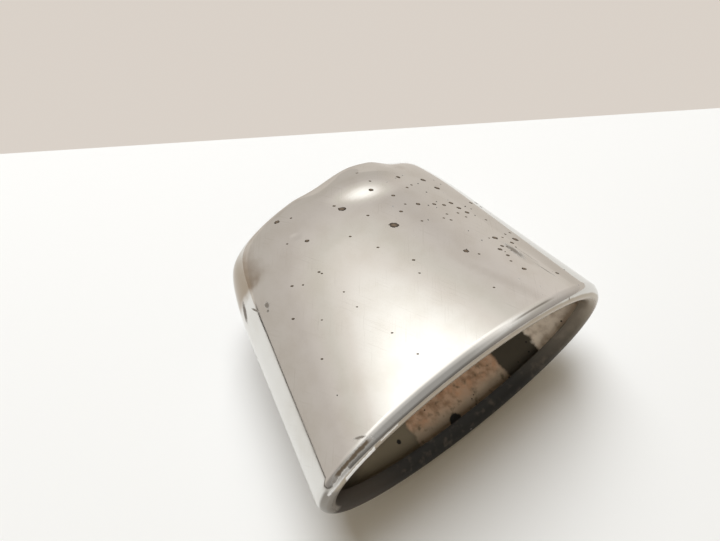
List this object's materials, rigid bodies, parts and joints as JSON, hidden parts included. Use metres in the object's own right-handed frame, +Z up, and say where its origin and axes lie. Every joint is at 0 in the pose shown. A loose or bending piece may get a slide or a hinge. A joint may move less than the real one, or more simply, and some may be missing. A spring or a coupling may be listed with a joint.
{
  "type": "exhaust tip",
  "caption": "Flared oval exhaust tip pressed from polished sheet, with a rolled lip at the mouth and a turned-in round collar that slips over the tail pipe.",
  "frame": {"origin": "centre of the round inlet, where its straight bore starts just inside the back wall", "axes": "+X along the axis, from the inlet out of the mouth; +Y across the wide oval; +Z up, with the tip lying on its broad side"},
  "size_m": [0.092, 0.12, 0.0553],
  "materials": {
    "polished_sheet": "polished, with rust pits, fine scratches and a sooty inside"
  },
  "bodies": {
    "root": {"tip_shell": "polished_sheet"}
  },
  "joints": []
}
